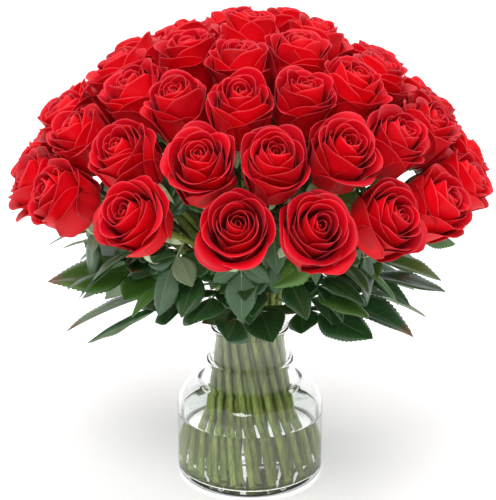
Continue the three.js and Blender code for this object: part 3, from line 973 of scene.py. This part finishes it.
def stem_tree(prickle, material):
    """A round stem along its curve, a little uneven, swollen at its nodes, with a few prickles."""
    tree = new_geometry_tree("stem")
    for name, kind, default in (
        ("Radius", "NodeSocketFloat", 2.8 * MM), ("Sides", "NodeSocketInt", 12),
        ("Swelling", "NodeSocketFloat", 0.10), ("Spacing", "NodeSocketFloat", 48 * MM),
        ("Shift", "NodeSocketFloat", 0.0), ("Prickles", "NodeSocketInt", 9), ("Seed", "NodeSocketInt", 1),
    ):
        group_input(tree, name, kind, default)
    given = add_node(tree, "NodeGroupInput").outputs
    even = add_node(
        tree, "GeometryNodeResampleCurve", {"Curve": given["Geometry"], "Length": 4 * MM}, mode="LENGTH"
    ).outputs[0]
    length = add_node(tree, "GeometryNodeSplineParameter").outputs["Length"]
    phase = maths(tree, "ADD", maths(tree, "DIVIDE", length, given["Spacing"]), given["Shift"])
    wave = maths(tree, "COSINE", maths(tree, "MULTIPLY", phase, 2 * math.pi))
    node = maths(tree, "POWER", maths(tree, "MAXIMUM", wave, 0.0), 14.0)
    scale = maths(tree, "ADD", 1.0, maths(tree, "MULTIPLY", node, given["Swelling"]))
    sized = add_node(tree, "GeometryNodeSetCurveRadius", {"Curve": even, "Radius": scale}).outputs[0]
    ring = add_node(
        tree, "GeometryNodeCurvePrimitiveCircle", {"Resolution": given["Sides"], "Radius": given["Radius"]}
    ).outputs[0]
    stem = add_node(
        tree, "GeometryNodeCurveToMesh",
        {"Curve": sized, "Profile Curve": ring, "Scale": scale, "Fill Caps": True},
    ).outputs[0]
    smooth = add_node(tree, "GeometryNodeSetShadeSmooth", {"Geometry": stem}).outputs[0]
    spots = add_node(
        tree, "GeometryNodeCurveToPoints", {"Curve": even, "Count": given["Prickles"]}, mode="COUNT"
    )
    spin = add_node(
        tree, "FunctionNodeRandomValue", {2: 0.0, 3: 2 * math.pi, "Seed": given["Seed"]}, data_type="FLOAT"
    ).outputs[1]
    about = add_node(tree, "ShaderNodeCombineXYZ", {2: spin}).outputs[0]
    turned = add_node(
        tree, "FunctionNodeRotateRotation", {0: spots.outputs["Rotation"], 1: about}, rotation_space="LOCAL"
    ).outputs[0]
    laid = add_node(
        tree, "FunctionNodeRotateRotation", {0: turned, 1: (0.0, math.pi / 2, 0.0)}, rotation_space="LOCAL"
    ).outputs[0]
    shape = add_node(tree, "GeometryNodeObjectInfo", {"Object": prickle}).outputs["Geometry"]
    skin = add_node(tree, "ShaderNodeCombineXYZ", {2: given["Radius"]}).outputs[0]
    lifted = add_node(
        tree, "GeometryNodeTransform", {"Geometry": shape, "Translation": skin}
    ).outputs[0]
    sizes = add_node(
        tree, "FunctionNodeRandomValue", {2: 0.45, 3: 0.95, "Seed": given["Seed"]}, data_type="FLOAT"
    ).outputs[1]
    prickles = add_node(
        tree, "GeometryNodeInstanceOnPoints",
        {"Points": spots.outputs["Points"], "Instance": lifted, "Rotation": laid, "Scale": sizes},
    ).outputs[0]
    joined = add_node(tree, "GeometryNodeJoinGeometry", {0: smooth})
    tree.links.new(prickles, joined.inputs[0])
    end_tree(tree, joined.outputs[0], material)
    return tree


# ================================ Leaves ================================


def leaflet_grid(length, width, teeth, random):
    """A leaflet's points: toothed edges, folded along its midrib, with a waving blade."""
    rows = 2 * teeth + 3
    v = np.linspace(0, 1, rows)[:, None]
    u = np.linspace(-1, 1, 9)[None, :]
    half = width / 2 * np.sin(np.pi * v**0.85) ** 0.85 * (1 - 0.10 * v**3)
    half = np.maximum(half, 0.25 * MM)
    teeth_out = np.where(np.arange(rows)[:, None] % 2 == 1, 1.0, 0.0) * (v < 0.97)
    tooth = 1 + 0.075 * teeth_out * np.abs(u) ** 6
    forward = 0.012 * length * teeth_out * np.abs(u) ** 6
    x = v * length + forward
    y = u * half * tooth
    fold = random.uniform(0.10, 0.34)
    arch = random.uniform(0.02, 0.22)
    z = fold * np.abs(y) - arch * length * v**2 * 0.6
    z = z + 0.9 * MM * np.sin(v * random.uniform(9, 14) + random.uniform(0, 6)) * u**2 * np.sin(np.pi * v)
    z = z - random.uniform(0, 0.5) * np.abs(y) * np.abs(u) ** 3  # the edges turn down
    twist = random.uniform(-0.5, 0.5) * v
    y, z = y * np.cos(twist) - z * np.sin(twist) * 0.6, z + y * np.sin(twist)
    return np.stack([x + 0 * u, y, z], -1), np.broadcast_to(u, y.shape), np.broadcast_to(v, y.shape)


def add_leaflet(joined, random, to_world, teeth, thickness, leaflet, base, splay, tone, dry, turned=False):
    grid, u, v = leaflet_grid(leaflet["length"], leaflet["width"], teeth, random)
    roll = random.uniform(-0.45, 0.45) + (math.pi * 0.9 if turned else 0)
    y, z = grid[..., 1], grid[..., 2]
    y, z = y * math.cos(roll) - z * math.sin(roll), y * math.sin(roll) + z * math.cos(roll)
    c, s = math.cos(math.radians(splay)), math.sin(math.radians(splay))
    x = base[0] + grid[..., 0] * c - y * s
    y = base[1] + grid[..., 0] * s + y * c
    world = to_world(np.stack([x, y, z], -1))
    points, faces = shell(world, thickness)
    under = np.repeat((1.0, 0.0), u.size)
    uv = np.stack([u.ravel(), v.ravel()], -1)
    joined.add(points, faces, np.tile(uv, (2, 1)), under=under, tone=tone, dry=dry)


def layers_on(number):
    """The leaf layers that have a leaf on an outer stem."""
    stems = len(RINGS[OUTER_RING]["turns"])
    found = []
    for layer in LEAF_LAYERS + FILL_LAYERS:
        count = layer["count"]
        places = [math.floor((k + layer["start"]) * stems / count + 0.5) for k in range(count)]
        if any(place % stems == number for place in places):
            found.append(layer)
    return found


def leaf_frame(root, ahead, up, size, droop, reach):
    """Puts a leaf's own points, with +X along its stalk and +Z out of its face, in their place."""
    side = up.cross(ahead).normalized()
    axes = np.array((ahead, side, up))

    def to_world(points):
        points = np.array(points) * size
        points[..., 2] -= droop * (points[..., 0] / reach) ** 2
        return points @ axes + np.array(root)

    return to_world


def add_leaf(joined, random, to_world, settings, stalk, gap, teeth):
    """Three leaflets on their stalk."""
    leaf_tone = random.uniform(0, 1)
    tip = stalk + gap
    for leaflet, base, splay in (
        (SIDE_LEAFLET, (stalk, -MM), -SIDE_LEAFLET["splay"]),
        (SIDE_LEAFLET, (stalk, MM), SIDE_LEAFLET["splay"]),
        (END_LEAFLET, (tip, 0.0), 0.0),
    ):
        tone = min(1.0, max(0.0, leaf_tone + random.uniform(-0.15, 0.15)))
        dry = 1.0 if random.uniform() < 0.12 else 0.0
        turned = leaflet is SIDE_LEAFLET and random.uniform() < 0.2
        add_leaflet(
            joined, random, to_world, teeth, settings.thickness, leaflet, base, splay, tone, dry, turned
        )
    for line, radii in (
        (np.linspace((0, 0, 0), (tip + 8 * MM, 0, 0), 14), np.linspace(1.3, 0.7, 14)),
        (np.linspace((stalk, 0, 0), (stalk + 5 * MM, 7 * MM, 0), 4), np.full(4, 0.7)),
        (np.linspace((stalk, 0, 0), (stalk + 5 * MM, -7 * MM, 0), 4), np.full(4, 0.7)),
    ):
        points, faces = tube(to_world(line), radii * MM, 6)
        joined.add(points, faces, np.tile((0.0, 0.5), (len(points), 1)), under=0.6, tone=0.9, dry=0.0)


def leaf_mesh(rose, settings, material):
    random = np.random.default_rng(LEAF_SEED + rose.index)
    joined = Joined()
    for layer in layers_on(rose.number) if rose.outer else ():
        root = rose.at_height(MOUTH + layer["above"] * MM)
        ahead = Vector((root.x, root.y, 0)).normalized()
        front = max(0.0, -ahead.y)
        ahead.rotate(Matrix.Rotation(math.radians(FRONT_LEAF_TURN) * front, 3, "Z"))
        up = Matrix.Rotation(math.radians(layer["roll"]), 3, ahead) @ Vector((0, 0, 1))
        size = layer["size"] * lerp(1, FRONT_LEAF_SIZE, front)
        droop = lerp(layer["droop"], layer["front_droop"], front) * MM
        reach = (LEAF_STALK + END_LEAFLET["gap"] + END_LEAFLET["length"]) * size
        to_world = leaf_frame(root, ahead, up, size, droop, reach)
        add_leaf(joined, random, to_world, settings, LEAF_STALK, END_LEAFLET["gap"], settings.teeth)
    depths = COLLAR_DEPTHS if rose.outer else COLLAR_DEPTHS[:2]
    turn = random.uniform(0, 2 * math.pi)
    for depth in depths:
        root, along = rose.below_calyx(depth)
        turn += GOLDEN_TURN
        level = along.orthogonal().normalized()
        ahead = Matrix.Rotation(turn, 3, along) @ level
        size = random.uniform(0.5, 0.66)
        reach = (COLLAR_STALK + COLLAR_GAP + END_LEAFLET["length"]) * size
        to_world = leaf_frame(root, ahead, along, size, COLLAR_DROOP, reach)
        stalk = COLLAR_STALK / size
        add_leaf(joined, random, to_world, settings, stalk, COLLAR_GAP, settings.teeth // 2)
    return joined.mesh(rose.name + "_leaves", [material])


# ================================ Vase and water ================================


def ellipse(centre, run, rise, start, end, steps):
    """Points on an ellipse from one angle to another, in degrees from level."""
    angles = np.radians(np.linspace(start, end, steps + 1))
    return np.stack([centre[0] + run * np.cos(angles), centre[1] + rise * np.sin(angles)], -1)


def spline(points, steps):
    """A smooth line through the points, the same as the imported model's neck."""
    points = np.asarray(points, float)
    found = []
    for share in np.linspace(0, 1, steps + 1):
        at = share * (len(points) - 1)
        i = min(int(at), len(points) - 2)
        w = at - i
        p0, p1 = points[max(0, i - 1)], points[i]
        p2, p3 = points[i + 1], points[min(len(points) - 1, i + 2)]
        m0, m1 = (p2 - p0) / 2, (p3 - p1) / 2
        found.append(
            (2 * w**3 - 3 * w**2 + 1) * p1 + (w**3 - 2 * w**2 + w) * m0
            + (3 * w**2 - 2 * w**3) * p2 + (w**3 - w**2) * m1
        )
    return np.array(found)


def neck_radius():
    return waist_radius(OUTER_RING) + STEM_RADIUS + NECK_CLEARANCE + WALL


def neck_line(inset):
    radius = neck_radius()
    line = spline(
        [
            (radius + NECK_SPREAD, NECK_FOOT),
            (radius + NECK_SPREAD * 0.4, NECK_FOOT + NECK_WAIST_RISE * 0.4),
            (radius, NECK_FOOT + NECK_WAIST_RISE),
            (radius + MOUTH_SPREAD, MOUTH),
        ],
        30,
    )
    return line - (inset, 0)


def beaded_neck(bead):
    """The neck's outer line with a half-round ring raised on it at two heights."""
    line = neck_line(0)
    heights = [NECK_FOOT + rise for rise in BEAD_RISES]
    keep = np.all([np.abs(line[:, 1] - height) > bead * 1.4 for height in heights], axis=0)
    beads = [
        ellipse((np.interp(height, line[:, 1], line[:, 0]), height), bead, bead, -80, 80, 8)
        for height in heights
    ]
    points = np.concatenate([line[keep], *beads])
    return points[np.argsort(points[:, 1])]


def vase_profile(settings):
    shoulder = (neck_radius() + NECK_SPREAD - SHOULDER_TUCK, SHOULDER_HEIGHT)
    run = BODY_RADIUS - shoulder[0]
    heel = (BODY_RADIUS - HEEL_RADIUS, HEEL_RADIUS)
    inner_heel = HEEL_RADIUS - WALL
    lip = WALL / 2
    foot_hollow = 2.2 * MM  # the underside of the foot is a shallow dish, as pressed glass has
    return np.concatenate([
        [(0, foot_hollow), (18 * MM, foot_hollow * 0.9), (34 * MM, foot_hollow * 0.55), (46 * MM, 0.15 * MM)],
        ellipse(heel, HEEL_RADIUS, HEEL_RADIUS, -90, 0, 12),
        ellipse(shoulder, run, SHOULDER_RISE, 0, 80, 16),
        beaded_neck(settings.bead),
        ellipse((neck_radius() + MOUTH_SPREAD - lip, MOUTH), lip, lip, 20, 160, 8),
        neck_line(WALL)[::-1],
        ellipse(shoulder, run - WALL, SHOULDER_RISE - WALL, 76, 0, 16),
        ellipse((heel[0], FLOOR + inner_heel), inner_heel, inner_heel, 0, -90, 10),
        [(0, FLOOR)],
    ])


def water_profile():
    heel = HEEL_RADIUS - WALL
    wetting = 0.15 * MM  # the water meets the glass, so no film of air stands between them
    edge = BODY_RADIUS - WALL + wetting
    creep = 1.6 * MM  # how far the surface climbs the glass
    bend = heel + wetting
    return np.concatenate([
        [(0, FLOOR - wetting)],
        ellipse((BODY_RADIUS - HEEL_RADIUS, FLOOR + heel), bend, bend, -90, 0, 10),
        [(edge, WATER_LEVEL - 2 * MM), (edge, WATER_LEVEL - 0.2 * MM), (edge, WATER_LEVEL + creep * 0.6)],
        [(edge - 0.15 * MM, WATER_LEVEL + creep * 0.6), (edge - 0.5 * MM, WATER_LEVEL + creep * 0.5)],
        [(edge - 1.2 * MM, WATER_LEVEL + creep * 0.2), (edge - 2.2 * MM, WATER_LEVEL + creep * 0.04)],
        [(edge - 3.2 * MM, WATER_LEVEL), (edge - 5 * MM, WATER_LEVEL), (0, WATER_LEVEL)],
    ])


# ================================ Operators ================================


class RosesStage(bpy.types.Operator):
    """Makes the floor, the lights and the camera"""

    bl_idname = "roses.stage"
    bl_label = "Stage"

    def execute(self, context):
        settings = context.scene.rose_stage
        count = 64
        points = [tuple(polar(settings.floor_radius, 360 * i / count, 0)) for i in range(count)]
        material = floor_material(settings.glow)
        mesh = make_mesh("floor", points, [list(range(count))], [material], smooth=False)
        add_object("floor", mesh)
        world = bpy.data.worlds.new("studio")
        world.use_nodes = True
        background = next(node for node in world.node_tree.nodes if node.type == "BACKGROUND")
        background.inputs["Color"].default_value = (1, 1, 1, 1)
        bounced = add_node(world.node_tree, "ShaderNodeLightPath").outputs["Is Diffuse Ray"]
        strength = maths(world.node_tree, "MULTIPLY_ADD", bounced, settings.sky - BACKDROP, BACKDROP)
        world.node_tree.links.new(strength, background.inputs["Strength"])
        context.scene.world = world
        for name, place, size, power in (
            ("key", (-0.35, -1.15, 1.75), 0.9, settings.key),
            ("top", (0.35, 0.25, 1.9), 1.2, settings.key * 0.55),
        ):
            light = bpy.data.lights.new(name, "AREA")
            light.shape = "DISK"
            light.size = size
            light.energy = power
            lamp = add_object(name, light)
            lamp.location = place
            aim = Vector((0, 0, 0.28)) - Vector(place)
            lamp.rotation_euler = aim.to_track_quat("-Z", "Y").to_euler()
        camera = bpy.data.cameras.new("camera")
        camera.lens = settings.lens
        camera.sensor_width = 36
        holder = add_object("camera", camera)
        target = Vector((-0.0019, 0, 0.226))
        away = Vector((0, -math.cos(settings.elevation), math.sin(settings.elevation)))
        holder.location = target + away * settings.distance
        holder.rotation_euler = (-away).to_track_quat("-Z", "Y").to_euler()
        context.scene.camera = holder
        context.scene.view_settings.view_transform = "Standard"
        return {"FINISHED"}


class RosesPetals(bpy.types.Operator):
    """Makes every bloom's petals"""

    bl_idname = "roses.petals"
    bl_label = "Petals"

    def execute(self, context):
        settings = context.scene.rose_blooms
        material = petal_material(settings)
        for rose in ROSES:
            piece = add_object(rose.name + "_petals", bloom_mesh(rose, settings, material))
            finish_piece(piece, "petal", rose.name)
        return {"FINISHED"}


class RosesCalyces(bpy.types.Operator):
    """Makes every bloom's hip and sepals"""

    bl_idname = "roses.calyces"
    bl_label = "Calyces"

    def execute(self, context):
        material = sepal_material(context.scene.rose_stems)
        sepal = add_object("sepal", sepal_mesh(material))
        tree = calyx_tree(sepal, material)
        for rose in ROSES:
            holder = add_object(rose.name + "_calyx", hip_mesh(material))
            mesh = evaluated_mesh(
                holder, tree, holder.name, Seed=rose.index, Lift=0.35 * vary(rose.index, 5),
            )
            mesh.transform(rose.matrix())
            holder.data = mesh
            finish_piece(holder, "leaf", rose.name)
        bpy.data.objects.remove(sepal)
        return {"FINISHED"}


class RosesStems(bpy.types.Operator):
    """Makes every rose's stem and its prickles"""

    bl_idname = "roses.stems"
    bl_label = "Stems"

    def execute(self, context):
        settings = context.scene.rose_stems
        material = green_material(settings)
        prickle = add_object("prickle", prickle_mesh(material))
        tree = stem_tree(prickle, material)
        for rose in ROSES:
            line = add_object(rose.name + "_line", stem_curve(rose))
            mesh = evaluated_mesh(
                line, tree, rose.name + "_stem", Radius=settings.radius, Sides=settings.sides,
                Prickles=settings.prickles, Shift=0.5 * vary(rose.index, 6), Seed=rose.index,
            )
            bpy.data.objects.remove(line)
            finish_piece(add_object(rose.name + "_stem", mesh), "stem", rose.name)
        bpy.data.objects.remove(prickle)
        return {"FINISHED"}


class RosesLeaves(bpy.types.Operator):
    """Makes every rose's leaves"""

    bl_idname = "roses.leaves"
    bl_label = "Leaves"

    def execute(self, context):
        settings = context.scene.rose_leaves
        material = leaf_material(settings)
        for rose in ROSES:
            mesh = leaf_mesh(rose, settings, material)
            finish_piece(add_object(rose.name + "_leaves", mesh), "leaf", rose.name)
        return {"FINISHED"}


class RosesVase(bpy.types.Operator):
    """Makes the glass vase"""

    bl_idname = "roses.vase"
    bl_label = "Vase"

    def execute(self, context):
        settings = context.scene.rose_vase
        points, faces = lathe(vase_profile(settings), settings.segments)
        material = clear_material("glass", settings.glass, 1.45)
        vase = add_object("bottle_vase", make_mesh("bottle_vase", points, faces, [material]))
        finish_piece(vase, "glass", "vase")
        return {"FINISHED"}


class RosesWater(bpy.types.Operator):
    """Makes the water in the vase"""

    bl_idname = "roses.water"
    bl_label = "Water"

    def execute(self, context):
        settings = context.scene.rose_vase
        points, faces = lathe(water_profile(), settings.segments)
        material = clear_material("water", settings.water, 1.333)
        water = add_object("vase_water", make_mesh("vase_water", points, faces, [material]))
        finish_piece(water, "water", "water")
        return {"FINISHED"}


OPERATORS = (RosesStage, RosesVase, RosesWater, RosesStems, RosesCalyces, RosesLeaves, RosesPetals)


class RosesPanel(bpy.types.Panel):
    """Lists the bouquet's operators and its settings"""

    bl_idname = "VIEW3D_PT_roses"
    bl_label = "Roses in a Vase"
    bl_space_type = "VIEW_3D"
    bl_region_type = "UI"
    bl_category = "Roses"

    def draw(self, context):
        for operator in OPERATORS:
            self.layout.operator(operator.bl_idname)
        for name, group in SETTINGS.items():
            box = self.layout.box()
            for key in group.__annotations__:
                box.prop(getattr(context.scene, name), key)


def register():
    for group in (*SETTINGS.values(), *OPERATORS, RosesPanel):
        bpy.utils.register_class(group)
    for name, group in SETTINGS.items():
        setattr(bpy.types.Scene, name, PointerProperty(type=group))


def unregister():
    for name in SETTINGS:
        delattr(bpy.types.Scene, name)
    for group in reversed((*SETTINGS.values(), *OPERATORS, RosesPanel)):
        bpy.utils.unregister_class(group)


def main():
    register()
    check_layout()
    bpy.ops.roses.stage()
    bpy.ops.roses.vase()
    bpy.ops.roses.water()
    bpy.ops.roses.stems()
    bpy.ops.roses.calyces()
    bpy.ops.roses.leaves()
    bpy.ops.roses.petals()


if __name__ == "__main__":
    main()
